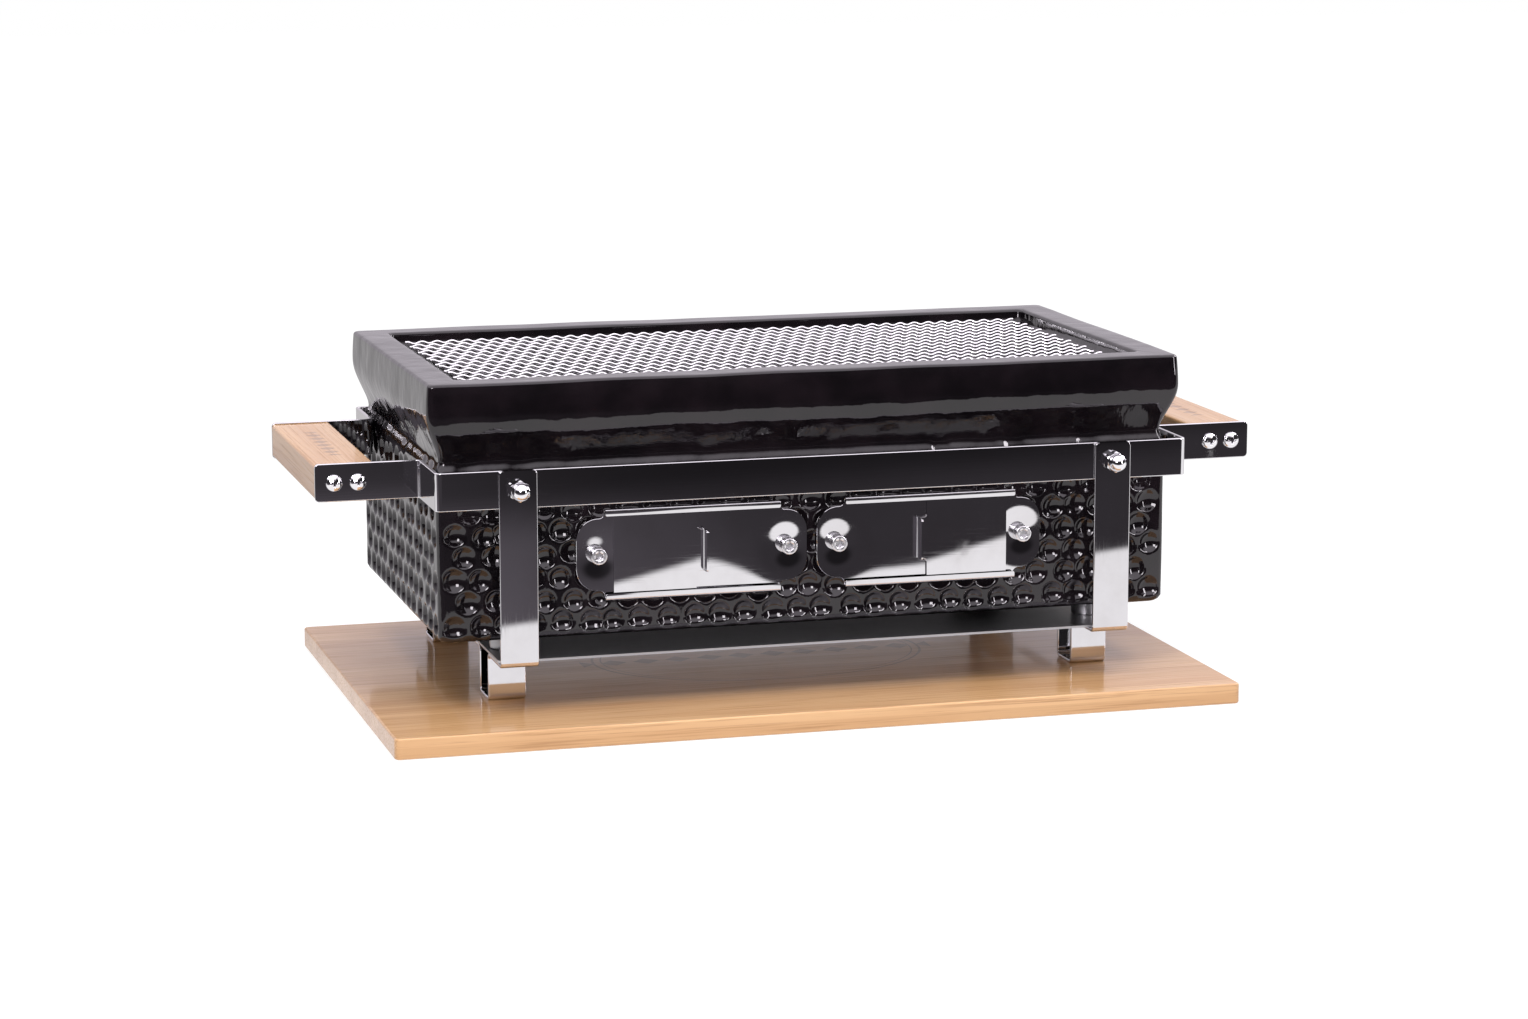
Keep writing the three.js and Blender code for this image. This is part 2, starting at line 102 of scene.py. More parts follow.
# Dimples in the clay walls.
DIMPLE_RADIUS = 6.1 * MM
DIMPLE_DEPTH = 2.9 * MM
DIMPLE_PITCH = 14.3 * MM
DIMPLE_ROWS = 8
DIMPLE_ROW_SPACING = 11.7 * MM
DIMPLE_FIRST_ROW = 8.5 * MM
DIMPLE_FROM_CORNER = 8.2 * MM
DIMPLE_LIP = 0.22 * MM
DIMPLE_SCATTER = 1.8 * MM

# Bamboo and the grain of the steel, as the stretch of its scratches.
BAMBOO_STRIP_WIDTH = 19 * MM
BAMBOO_LAYER = 6 * MM
ALONG_X = (25, 1500, 1500)
ALONG_Z = (1500, 1500, 25)

# Wire mesh. Long wires run from side to side, cross wires from front to back.
LONG_WIRE_RADIUS = 0.8 * MM
CROSS_WIRE_RADIUS = 0.45 * MM
WIRE_WAVE = 0.6 * MM
LONG_WIRES = 15
CROSS_WIRES = 29
HALF_WAVES_PER_CROSSING = 3
WIRE_SIDES = 8
WIRE_STEP = 1 * MM


# ---- Meshes ----

def skin(rings):
    """Quads between neighbouring rings of points, closed round each ring and capped at both ends."""
    rings = np.asarray(rings, float)
    count, around = rings.shape[:2]
    faces = []
    for i in range(count - 1):
        low, high = i * around, (i + 1) * around
        for j in range(around):
            k = (j + 1) % around
            faces.append((low + j, low + k, high + k, high + j))
    faces.append(tuple(reversed(range(around))))
    faces.append(tuple(range((count - 1) * around, count * around)))
    return rings.reshape(-1, 3), faces


def joined(parts):
    """Several (points, faces) as one."""
    points, faces, start = [], [], 0
    for part_points, part_faces in parts:
        points.append(part_points)
        faces.extend(tuple(start + i for i in face) for face in part_faces)
        start += len(part_points)
    return np.concatenate(points), faces


def middle_of(node):
    low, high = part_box(node)
    return (low + high) / 2


def new_object(name, data):
    made = bpy.data.objects.new(name, data)
    bpy.context.scene.collection.objects.link(made)
    return made


def mesh_object(name, part):
    points, faces = part
    mesh = bpy.data.meshes.new(name)
    mesh.from_pydata([tuple(point) for point in points], [], faces)
    made = new_object(name, mesh)
    outwards(mesh)
    return made


def outwards(mesh):
    """Turns every closed shell's faces outwards."""
    work = bmesh.new()
    work.from_mesh(mesh)
    bmesh.ops.recalc_face_normals(work, faces=work.faces)
    work.to_mesh(mesh)
    work.free()


def cut(body, tool, operation="DIFFERENCE"):
    """Joins the tool to the body or cuts it out, and removes the tool."""
    modifier = body.modifiers.new("cut", "BOOLEAN")
    modifier.operation = operation
    modifier.object = tool
    modifier.solver = "MANIFOLD"
    graph = bpy.context.evaluated_depsgraph_get()
    mesh = bpy.data.meshes.new_from_object(body.evaluated_get(graph))
    body.modifiers.clear()
    body.data = mesh
    bpy.data.objects.remove(tool)


def finish_piece(piece, body, material, node, sharp=35, flat=True):
    """Smooth shading with sharp creases, then the material, the node it stands for and the
    body it rides on."""
    mesh = piece.data
    mesh.shade_smooth()
    mesh.set_sharp_from_angle(angle=math.radians(sharp))
    if flat:
        weighted = piece.modifiers.new("flat faces stay flat", "WEIGHTED_NORMAL")
        weighted.keep_sharp = True
    mesh.materials.clear()
    mesh.materials.append(material)
    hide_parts(node)
    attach(piece, body)


def rounded_outline(half_x, half_y, radius, steps=6):
    """A rounded rectangle, counter-clockwise, as an array of (x, y)."""
    points = []
    for corner in range(4):
        centre_x = (half_x - radius) * (1 if corner in (0, 3) else -1)
        centre_y = (half_y - radius) * (1 if corner in (0, 1) else -1)
        for step in range(steps + 1):
            angle = QUARTER * (corner + step / steps)
            points.append((centre_x + radius * math.cos(angle), centre_y + radius * math.sin(angle)))
    return np.array(points)


def rounded_slab(half_x, half_y, low, high, corner, edge, steps=4):
    """A plate with rounded corners and rounded edges, lying flat."""
    rings = []
    for base, turn in ((low, -1), (high, 1)):
        for step in range(steps + 1):
            angle = QUARTER * (step / steps if turn > 0 else 1 - step / steps)
            inset = edge * (1 - math.cos(angle))
            height = base - turn * edge * (1 - math.sin(angle))
            flat = rounded_outline(half_x - inset, half_y - inset, max(corner - inset, 0.1 * MM))
            rings.append(np.column_stack([flat, np.full(len(flat), height)]))
    return skin(rings)


def turned(rings, segments):
    """A solid of rings round +Z. A ring is (radius, height), each a number or one per segment."""
    angles = np.arange(segments) * 2 * math.pi / segments
    made = []
    for radius, height in rings:
        radius = np.broadcast_to(radius, segments)
        height = np.broadcast_to(height, segments)
        made.append(np.column_stack([radius * np.cos(angles), radius * np.sin(angles), height]))
    return skin(made)


def hexagon(across, segments):
    """The radius of a hexagon, for each segment."""
    angles = np.arange(segments) * 2 * math.pi / segments
    folded = (angles + math.pi / 6) % (math.pi / 3) - math.pi / 6
    return across / 2 / np.cos(folded)


# ---- Bent strip ----

def bent_line(corners, bend, steps=8):
    """The middle line of a bent strip, as its lengths, points and normals where it starts, bends and
    ends."""
    corners = [np.array(corner, float) for corner in corners]
    headings = [b - a for a, b in zip(corners, corners[1:])]
    headings = [heading / np.linalg.norm(heading) for heading in headings]
    left = lambda heading: np.array([-heading[1], heading[0]])
    points, normals = [corners[0]], [left(headings[0])]
    for before, after, corner in zip(headings, headings[1:], corners[1:]):
        turn = np.sign(before[0] * after[1] - before[1] * after[0])
        centre = corner - before * bend + left(before) * turn * bend
        for step in range(steps + 1):
            angle = turn * QUARTER * step / steps
            cos, sin = math.cos(angle), math.sin(angle)
            heading = np.array([before[0] * cos - before[1] * sin, before[0] * sin + before[1] * cos])
            points.append(centre - left(heading) * turn * bend)
            normals.append(left(heading))
    points.append(corners[-1])
    normals.append(left(headings[-1]))
    points, normals = np.array(points), np.array(normals)
    lengths = np.concatenate([[0], np.cumsum(np.linalg.norm(np.diff(points, axis=0), axis=1))])
    return lengths, points, normals


def round_corner(length, half_width, radius, from_end, steps=5):
    """(length, half width) where a strip's end is rounded off at its two corners."""
    made = []
    for step in range(steps + 1):
        angle = QUARTER * step / steps
        inwards = radius * (1 - math.cos(angle))
        made.append((length - inwards if from_end else length + inwards,
                     half_width - radius + radius * math.sin(angle)))
    return made[::-1] if from_end else made


def even_widths(line, half_width, corner):
    """(length, half width) of a strip as wide all along, rounded off at both ends."""
    return (round_corner(0, half_width, corner, False)
            + round_corner(strip_length(line), half_width, corner, True))


def strip(line, widths, thickness, edge, place, steps=4):
    """A strip along its middle line. widths are (length, half width); place gives (x, y, z)."""
    lengths, points, normals = line
    width_at, half_widths = np.array(widths).T
    keep = [s for s in lengths[1:-1] if np.min(np.abs(width_at - s)) > 1e-7]
    stations = sorted(list(widths) + [(s, np.interp(s, width_at, half_widths)) for s in keep],
                      key=lambda station: station[0])
    rings = []
    for s, half_width in stations:
        point = np.array([np.interp(s, lengths, points[:, axis]) for axis in (0, 1)])
        normal = np.array([np.interp(s, lengths, normals[:, axis]) for axis in (0, 1)])
        normal /= np.linalg.norm(normal)
        section = rounded_outline(thickness / 2, half_width, edge, steps)
        rings.append([place(*(point + normal * across), along) for across, along in section])
    return skin(rings)


def strip_length(line):
    return line[0][-1]


# ---- Material nodes ----

class Graph:
    """The node tree of a material or a world, filled one node at a time."""

    def __init__(self, owner):
        owner.use_nodes = True
        self.tree = owner.node_tree
        self.tree.nodes.clear()

    def add(self, kind, inputs=None, **settings):
        made = self.tree.nodes.new("ShaderNode" + kind)
        for key, value in settings.items():
            setattr(made, key, value)
        for key, value in (inputs or {}).items():
            if isinstance(value, bpy.types.NodeSocket):
                self.tree.links.new(value, made.inputs[key])
            else:
                made.inputs[key].default_value = value
        return made

    def math(self, operation, first, second=0.0, third=0.0):
        return self.add("Math", {0: first, 1: second, 2: third}, operation=operation).outputs[0]

    def plus(self, first, second):
        return self.math("ADD", first, second)

    def minus(self, first, second):
        return self.math("SUBTRACT", first, second)

    def times(self, first, second):
        return self.math("MULTIPLY", first, second)

    def ramp(self, value, low, high, out_low=0.0, out_high=1.0):
        """value mapped smoothly from low..high to out_low..out_high."""
        made = self.add("MapRange", {"Value": value, "From Min": low, "From Max": high,
                                     "To Min": out_low, "To Max": out_high},
                        interpolation_type="SMOOTHSTEP")
        return made.outputs["Result"]

    def mix(self, share, first, second):
        made = self.add("Mix", {"Factor": share}, data_type="RGBA")
        for socket, value in ((made.inputs[6], first), (made.inputs[7], second)):
            if isinstance(value, bpy.types.NodeSocket):
                self.tree.links.new(value, socket)
            else:
                socket.default_value = (*value, 1) if len(value) == 3 else value
        return made.outputs[2]

    def place(self, scale=(1, 1, 1)):
        """Object coordinates in metres, scaled before a texture reads them."""
        coordinates = self.add("TexCoord").outputs["Object"]
        return self.add("Mapping", {"Vector": coordinates, "Scale": scale}).outputs[0]

    def axes(self):
        """Object coordinates in metres, as x, y and z."""
        coordinates = self.add("TexCoord").outputs["Object"]
        return self.add("SeparateXYZ", {"Vector": coordinates}).outputs

    def noise(self, vector, scale, detail=2.0, roughness=0.5):
        made = self.add("TexNoise", {"Vector": vector, "Scale": scale, "Detail": detail,
                                     "Roughness": roughness})
        return made.outputs[0]

    def bump(self, height, distance, strength=1.0, normal=None):
        inputs = {"Height": height, "Distance": distance, "Strength": strength}
        if normal is not None:
            inputs["Normal"] = normal
        return self.add("Bump", inputs).outputs[0]

    def emission(self, colour, strength, kind="Emission"):
        return self.add(kind, {"Color": (*colour, 1), "Strength": strength})

    def surface(self, shader):
        output = self.add("OutputMaterial")
        self.tree.links.new(shader, output.inputs["Surface"])


def glaze():
    """Black gloss glaze, faintly purple: soft waves, fine vertical runs, small pits, a little dust."""
    made = bpy.data.materials.new("glazed_clay")
    graph = Graph(made)
    here = graph.place()
    tint = graph.ramp(graph.noise(here, 35, 3), 0.35, 0.7)
    colour = graph.mix(tint, (0.0042, 0.0032, 0.0042), (0.0095, 0.0065, 0.0085))
    waves = graph.bump(graph.noise(here, 45, 2), 1.1 * MM, 0.5)
    runs = graph.bump(graph.noise(graph.place(scale=(380, 380, 50)), 1.0, 2), 0.16 * MM, 0.5, waves)
    pits = graph.bump(graph.noise(here, 700, 2), 0.02 * MM, 0.5, runs)
    roughness = graph.ramp(graph.noise(here, 160, 4), 0.35, 0.75, 0.02, 0.07)
    shader = graph.add("BsdfPrincipled", {
        "Base Color": colour, "Roughness": roughness, "IOR": 1.58, "Normal": pits})
    graph.surface(shader.outputs[0])
    return made


def screw_dents(graph):
    """How far the vent plates are drawn in round their screws, 0 to 1."""
    x, _, z = graph.axes()
    from_middle = graph.math("ABSOLUTE", x)
    total = 0.0
    for place in ("inner", "outer"):
        screw = middle_of("vent_screw_right_" + place)
        across = graph.minus(from_middle, screw.x)
        up = graph.minus(z, screw.z)
        far = graph.plus(graph.times(across, across), graph.times(up, up))
        fall = graph.math("EXPONENT", graph.times(far, -1 / DENT_REACH ** 2))
        total = graph.plus(total, fall)
    return total


def door_lean(graph):
    """How far the doors lean forward with height, more to the right, in metres."""
    average, difference, twist = 0.014, 0.008, 0.28
    x, _, z = graph.axes()
    middle = middle_of("vent_door_right")
    side = graph.math("SIGN", x)
    across = graph.minus(x, graph.times(side, middle.x))
    steady = graph.minus(average, graph.times(side, difference))
    lean = graph.plus(graph.times(across, twist), steady)
    return graph.times(graph.minus(z, middle.z), lean)


def plate_shape(graph):
    """How far the vent plates lean forward beside their doors and draw in round their screws."""
    average, difference = 0.012, 0.014
    x, _, z = graph.axes()
    middle = middle_of("vent_plate_right")
    side = graph.math("SIGN", x)
    beside = graph.minus(graph.math("ABSOLUTE", x), middle.x - PLATE_LEAN_INWARDS)
    squared = graph.times(beside, beside)
    near = graph.math("EXPONENT", graph.times(squared, -1 / PLATE_LEAN_REACH ** 2))
    most = graph.minus(average, graph.times(side, difference))
    lean = graph.times(graph.minus(z, middle.z), graph.times(near, most))
    dents = graph.times(screw_dents(graph), -DENT_DEPTH)
    return graph.plus(lean, dents)


def foot_lean(graph):
    """How far the straps' feet turn their faces up, in metres."""
    first_slope, growth = 0.03, 0.65
    _, _, z = graph.axes()
    shield_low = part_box("heat_shield")[0].z
    below = graph.math("MAXIMUM", graph.minus(shield_low, z), 0.0)
    slope = graph.plus(first_slope, graph.times(below, growth))
    return graph.times(below, slope)


def steel(name, grain, base=0.72, low=0.02, high=0.08, wave=0.25, scratch=0.008, smudge=0.2,
          shape=None):
    """Stainless steel. grain stretches the scratches, wave bends its mirror image, smudge dulls it in
    patches and shape gives how far its surface stands out, in metres."""
    made = bpy.data.materials.new(name)
    graph = Graph(made)
    here = graph.place()
    lines = graph.noise(graph.place(scale=grain), 1.0, 5, 0.65)
    clouds = graph.noise(here, 28, 4, 0.6)
    rough = graph.plus(graph.ramp(lines, 0.45, 0.8, low, high),
                       graph.ramp(clouds, 0.6, 0.78, 0.0, smudge))
    colour = graph.mix(graph.ramp(clouds, 0.4, 0.8), (base, base, base * 1.02),
                       (base * 0.9, base * 0.89, base * 0.9))
    bent = graph.bump(graph.noise(here, 9, 1), wave * MM, 0.6)
    if shape:
        bent = graph.bump(shape(graph), 1.0, 1.0, bent)
    scratched = graph.bump(lines, scratch * MM, 0.5, bent)
    shader = graph.add("BsdfPrincipled", {
        "Base Color": colour, "Metallic": 1.0, "Roughness": rough, "Normal": scratched})
    graph.surface(shader.outputs[0])
    return made


def wire_steel():
    """Bright drawn wire with painted shade: where the surface faces neither front nor back (all along
    the front-to-back wires, and in thin lines along the others) it is a dark diffuse instead of steel,
    for the shade under the side-to-side wires.
    """
    made = bpy.data.materials.new("wire_steel")
    graph = Graph(made)
    split = graph.add("SeparateXYZ", {"Vector": graph.add("NewGeometry").outputs["Normal"]})
    facing = graph.ramp(graph.math("ABSOLUTE", split.outputs[1]), 0.02, 0.09)
    lines = graph.noise(graph.place(scale=(300, 300, 300)), 1.0, 4)
    roughness = graph.ramp(lines, 0.3, 0.8, 0.05, 0.12)
    # Painted shade: a dark diffuse in place of the steel on the front-to-back wires, which lie in
    # shade under the side-to-side wires.
    painted_shade = graph.add("BsdfPrincipled", {"Base Color": (0.05, 0.05, 0.05, 1), "Roughness": 0.5})
    bright = graph.add("BsdfPrincipled", {
        "Base Color": (0.95, 0.95, 0.96, 1), "Metallic": 1.0, "Roughness": roughness})
    mixed = graph.add("MixShader", {0: facing, 1: painted_shade.outputs[0], 2: bright.outputs[0]})
    graph.surface(mixed.outputs[0])
    return made


def bamboo(name, along, marks=None):
    """Lacquered bamboo. along is 0 or 1, the axis the strips run along; marks burns a motif in."""
    made = bpy.data.materials.new(name)
    graph = Graph(made)
    axes = graph.axes()
    run, across, up = axes[along], axes[1 - along], axes[2]
    row = graph.math("FLOOR", graph.math("DIVIDE", across, BAMBOO_STRIP_WIDTH))
    layer = graph.math("FLOOR", graph.math("DIVIDE", up, BAMBOO_LAYER))
    seed = graph.add("CombineXYZ", {"X": row, "Y": layer, "Z": 3.0}).outputs[0]
    tone = graph.add("TexWhiteNoise", {"Vector": seed}, noise_dimensions="3D").outputs["Value"]
    fibre_at = graph.add("CombineXYZ", {
        "X": graph.times(run, 14.0),
        "Y": graph.plus(graph.times(across, 900.0), graph.times(row, 7.3)),
        "Z": graph.times(up, 900.0)}).outputs[0]
    fibres = graph.noise(fibre_at, 1.0, 4, 0.6)
    cloud_at = graph.add("CombineXYZ", {
        "X": graph.times(run, 6.0),
        "Y": graph.plus(graph.times(across, 60.0), graph.times(row, 3.1)),
        "Z": graph.times(up, 60.0)}).outputs[0]
    clouds = graph.noise(cloud_at, 1.0, 2)
    base = graph.mix(tone, (0.52, 0.295, 0.135), (0.62, 0.37, 0.185))
    cloudy = graph.mix(graph.ramp(clouds, 0.35, 0.7), base, (0.48, 0.255, 0.11))
    grained = graph.mix(graph.ramp(fibres, 0.5, 0.68, 0.0, 0.7), cloudy, (0.33, 0.16, 0.06))
    colour = grained if marks is None else graph.mix(marks(graph), grained, (0.10, 0.045, 0.02))
    relief = graph.bump(fibres, 0.05 * MM, 0.4)
    roughness = graph.ramp(fibres, 0.3, 0.8, 0.28, 0.5)
    shader = graph.add("BsdfPrincipled", {
        "Base Color": colour, "Roughness": roughness, "Normal": relief,
        "Coat Weight": 0.5, "Coat Roughness": 0.07})
    graph.surface(shader.outputs[0])
    return made


def diamonds(graph, run, across, centre, pitch, count, half_height):
    """A row of small plain diamonds along run."""
    step = graph.math("DIVIDE", run, pitch)
    cell = graph.math("ABSOLUTE", graph.minus(graph.math("FRACT", step), 0.5))
    reach = graph.math("DIVIDE", graph.math("ABSOLUTE", graph.minus(across, centre)),
                       2 * half_height)
    inside = graph.ramp(graph.plus(cell, reach), 0.42, 0.40)
    limit = graph.math("LESS_THAN", graph.math("ABSOLUTE", run), pitch * count / 2)
    return graph.times(inside, limit)


def handle_marks(graph):
    """A row of burnt diamonds on the top of a handle."""
    pitch, count, half_height = 11 * MM, 7, 5.5 * MM
    x, y, z = graph.axes()
    middle = middle_of("handle_right")
    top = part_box("handle_right")[1].z
    across = graph.math("ABSOLUTE", x)
    run = graph.minus(y, middle.y)
    row = diamonds(graph, run, across, middle.x, pitch, count, half_height)
    on_top = graph.math("GREATER_THAN", z, top - 0.8 * MM)
    return graph.times(graph.times(row, on_top), 0.55)


def board_marks(graph):
    """A thin burnt double oval with a row of diamonds across its middle, on top of the board."""
    half_long, half_short = 92 * MM, 62 * MM
    pitch, count, half_height = 18 * MM, 11, 8 * MM
    x, y, z = graph.axes()
    middle = middle_of("serving_board")
    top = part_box("serving_board")[1].z
    run = graph.minus(x, middle.x)
    across = graph.minus(y, middle.y)
    round_x = graph.math("POWER", graph.math("DIVIDE", run, half_long), 2.0)
    round_y = graph.math("POWER", graph.math("DIVIDE", across, half_short), 2.0)
    reach = graph.math("SQRT", graph.plus(round_x, round_y))
    outer = graph.math("COMPARE", reach, 1.0, 0.008)
    inner = graph.math("COMPARE", reach, 0.95, 0.004)
    row = diamonds(graph, run, across, 0.0, pitch, count, half_height)
    marks = graph.math("MAXIMUM", graph.math("MAXIMUM", outer, inner), row)
    on_top = graph.math("GREATER_THAN", z, top - 0.5 * MM)
    return graph.times(graph.times(marks, on_top), 0.6)


# ---- Pieces ----

def serving_board(material):
    low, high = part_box("serving_board")
    middle = (low + high) / 2
    points, faces = rounded_slab((high.x - low.x) / 2, (high.y - low.y) / 2, low.z, high.z,
                                 3 * MM, 1.1 * MM)
    points += np.array([middle.x, middle.y, 0])
    piece = mesh_object("board_rounded", (points, faces))
    finish_piece(piece, "board", material, "serving_board")


def handle(side_name, material):
    node = "handle_" + side_name
    low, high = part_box(node)
    middle = (low + high) / 2
    half = (high - low) / 2
    slab, faces = rounded_slab(half.x, half.z, -half.y, half.y, 1.8 * MM, 0.5 * MM)
    points = np.column_stack([slab[:, 0] + middle.x, slab[:, 2] + middle.y, slab[:, 1] + middle.z])
    piece = mesh_object(node + "_rounded", (points, faces))
    finish_piece(piece, "frame", material, node)


def band(end_name, end, material):
    """A strip that wraps one long side of the firebox and steps out to the handle arms."""
    node = "band_" + end_name
    low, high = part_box(node)
    half = STRIP_THICKNESS / 2
    arm_reach = high.x
    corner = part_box("firebox")[1].x - RIM_PAST_BEND
    outer, inner = (low.y, high.y) if end < 0 else (high.y, low.y)
    band_y = outer - end * half
    arm_y = inner + end * half
    path = [(-arm_reach, arm_y), (-corner, arm_y), (-corner, band_y),
            (corner, band_y), (corner, arm_y), (arm_reach, arm_y)]
    line = bent_line(path, STRIP_BEND)
    half_width = (high.z - low.z) / 2
    centre = (high.z + low.z) / 2
    widths = even_widths(line, half_width, STRIP_CORNER)
    part = strip(line, widths, STRIP_THICKNESS, STRIP_EDGE, lambda x, y, up: (x, y, centre + up))
    piece = mesh_object(node + "_bent", part)
    finish_piece(piece, "frame", material, node)


def leg_strap(side_name, material):
    """A strip down the front, back under the firebox with a drop for each foot, and up the back."""
    node = "leg_strap_" + side_name
    low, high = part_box(node)
    half = STRIP_THICKNESS / 2
    shield_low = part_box("heat_shield")[0].z
    run = shield_low - half
    bottom = low.z + half
    middle_y = (low.y + high.y) / 2
    reach = (high.y - low.y) / 2 - half
    foot_front, foot_back = 84 * MM, 63.5 * MM
    front = [(-reach, high.z), (-reach, run), (-foot_front, run), (-foot_front, bottom),
             (-foot_back, bottom), (-foot_back, run)]
    path = front + [(-y, z) for y, z in reversed(front)]
    line = bent_line([(middle_y + y, z) for y, z in path], STRIP_BEND)
    half_width = (high.x - low.x) / 2
    centre = (high.x + low.x) / 2
    widths = even_widths(line, half_width, STRIP_CORNER)
    part = strip(line, widths, STRIP_THICKNESS, STRIP_EDGE,
                 lambda y, z, across: (centre + across, y, z))
    piece = mesh_object(node + "_bent", part)
    finish_piece(piece, "frame", material, node)


def placed(mesh, name, position, outward):
    """A copy of a screw or nut that stands on +Z, set at position and turned to point outward."""
    made = new_object(name, mesh)
    turn = Vector((0, 0, 1)).rotation_difference(Vector(outward))
    made.matrix_world = Matrix.Translation(position) @ turn.to_matrix().to_4x4()
    return made


def turned_mesh(name, rings, segments, sharp):
    """The mesh of a turned solid, smooth but for its sharp creases."""
    piece = mesh_object(name, turned(rings, segments))
    mesh = piece.data
    mesh.shade_smooth()
    mesh.set_sharp_from_angle(angle=math.radians(sharp))
    bpy.data.objects.remove(piece)
    return mesh


def cross_recess(reach, half_width, segments):
    """The radius of a cross-shaped recess, for each segment."""
    angles = np.arange(segments) * 2 * math.pi / segments
    c = np.maximum(np.abs(np.cos(angles)), 1e-6)
    s = np.maximum(np.abs(np.sin(angles)), 1e-6)
    return np.maximum(np.minimum(reach / c, half_width / s), np.minimum(half_width / c, reach / s))


def handle_screw_mesh():
    """A domed cross-head screw standing on +Z."""
    segments = 96
    head, skirt, shaft, length = 4.3 * MM, 0.9 * MM, 1.9 * MM, 24 * MM
    dome = lambda r: skirt + (SCREW_RISE - skirt) * np.sqrt(1 - (r / head) ** 2)
    mouth = cross_recess(2.2 * MM, 0.55 * MM, segments)
    floor = cross_recess(1.5 * MM, 0.4 * MM, segments)
    rings = [(shaft, -length), (shaft, 0.05 * MM), (head - 0.15 * MM, 0.05 * MM), (head, 0.2 * MM)]
    rings += [(head * math.sin(QUARTER * share), dome(head * math.sin(QUARTER * share)))
              for share in (1, 0.9, 0.8, 0.7, 0.6)]
    rings += [(mouth * 1.06, dome(mouth * 1.06)), (mouth, dome(mouth) - 0.08 * MM),
              (floor, SCREW_RISE - 1.4 * MM)]
    return turned_mesh("handle_screw_shape", rings, segments, 40)


def dome_nut_mesh():
    """A closed dome nut standing on +Z."""
    segments = 120
    across, hex_height, dome = 10 * MM, 5 * MM, 4.6 * MM
    flat = hexagon(across, segments)
    cone = lambda z: across / 2 + 0.1 * MM + (hex_height - z) * math.tan(math.radians(58))
    rings = [(np.minimum(flat, across / 2 + 0.15 * MM), 0.05 * MM), (flat, 0.45 * MM)]
    rings += [(np.minimum(flat, cone(z * MM)), z * MM) for z in (4.5, 4.6, 4.7, 4.8, 4.9, 5.0)]
    rings += [(dome + 0.15 * MM, hex_height), (dome, hex_height + 0.2 * MM)]
    base = NUT_HEIGHT - dome
    rings += [(dome * math.cos(QUARTER * share), base + dome * math.sin(QUARTER * share))
              for share in np.linspace(0, 0.97, 14)]
    return turned_mesh("dome_nut_shape", rings, segments, 30)


def vent_screw_mesh():
    """A socket-head screw standing on +Z, its head seated just above the plate."""
    segments = 96
    head, shaft, length, round_off = 4.3 * MM, 2.5 * MM, 14 * MM, 0.55 * MM
    seat = SHEET + 0.05 * MM
    socket = hexagon(4 * MM, segments)
    rings = [(shaft, -length), (shaft, seat), (head - 0.2 * MM, seat), (head, seat + 0.2 * MM)]
    rings += [(head - round_off * (1 - math.cos(QUARTER * share)),
               SOCKET_RISE - round_off * (1 - math.sin(QUARTER * share)))
              for share in np.linspace(0, 1, 6)]
    rings += [(2.55 * MM, SOCKET_RISE), (np.minimum(socket * 1.02, 2.3 * MM), SOCKET_RISE - 0.25 * MM),
              (socket, SOCKET_RISE - 0.3 * MM), (socket, SOCKET_RISE - 3 * MM)]
    return turned_mesh("vent_screw_shape", rings, segments, 30)


def fasten(mesh, nodes, body, material, seat_depth):
    """A copy of mesh in place of each node. seat_depth is from the node's outer end to its seat."""
    mesh.materials.clear()
    mesh.materials.append(material)
    for node in nodes:
        low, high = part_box(node)
        position = (low + high) / 2
        at_back = "back" in node
        position.y = high.y - seat_depth if at_back else low.y + seat_depth
        piece = placed(mesh, node + "_turned", position, (0, 1 if at_back else -1, 0))
        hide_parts(node)
        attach(piece, body)


def fasteners(polished, satin):
    screws = [f"handle_screw_{corner}_{place}" for corner in CORNERS for place in ("inner", "outer")]
    fasten(handle_screw_mesh(), screws, "frame", polished, SCREW_RISE)
    nuts = ["dome_nut_" + corner for corner in CORNERS]
    fasten(dome_nut_mesh(), nuts, "frame", polished, NUT_HEIGHT)
    sockets = [f"vent_screw_{side}_{place}" for side, _ in SIDES for place in ("inner", "outer")]
    fasten(vent_screw_mesh(), sockets, "firebox", satin, SOCKET_RISE)


def spacers(material):
    edge = 0.8 * MM
    bevel = 0.3 * edge
    for corner in CORNERS:
        node = "spacer_" + corner
        low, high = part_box(node)
        radius = (high.x - low.x) / 2
        rings = [(radius - edge, low.z), (radius - bevel, low.z + bevel), (radius, low.z + edge),
                 (radius, high.z - edge), (radius - bevel, high.z - bevel), (radius - edge, high.z)]
        points, faces = turned(rings, 48)
        points += np.array([*(low + high)[:2], 0]) / 2
        piece = mesh_object(node + "_rounded", (points, faces))
        finish_piece(piece, "frame", material, node)


# ---- Vents ----

def vent_place(side_name):
    """How (x towards the ear, y up, z out) round a vent's middle turns into the frame's axes."""
    node = "vent_plate_" + side_name
    middle = middle_of(node)
    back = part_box(node)[1].y
    sign = -1 if side_name == "left" else 1
    return lambda x, y, z: (middle.x + sign * x, back - z, middle.z + y)


def ear_outline(inset=0.0):
    """One ear of a vent plate, from inside the block round the ear, counter-clockwise."""
    fillet, radius = 3 * MM, 11.5 * MM
    upper = []
    for step in range(7):
        angle = math.pi + QUARTER * step / 6
        reach = fillet + inset
        upper.append((VENT_HALF_LENGTH + fillet + reach * math.cos(angle),
                      EAR_HALF_HEIGHT + fillet + reach * math.sin(angle)))
    for step in range(13):
        angle = QUARTER * (1 - step / 12)
        reach = radius - inset
        upper.append((EAR_REACH - radius + reach * math.cos(angle),
                      EAR_HALF_HEIGHT - radius + reach * math.sin(angle)))
    upper.insert(0, (VENT_HALF_LENGTH - 2 * MM, upper[0][1]))
    return np.array([(x, -y) for x, y in upper] + upper[::-1])


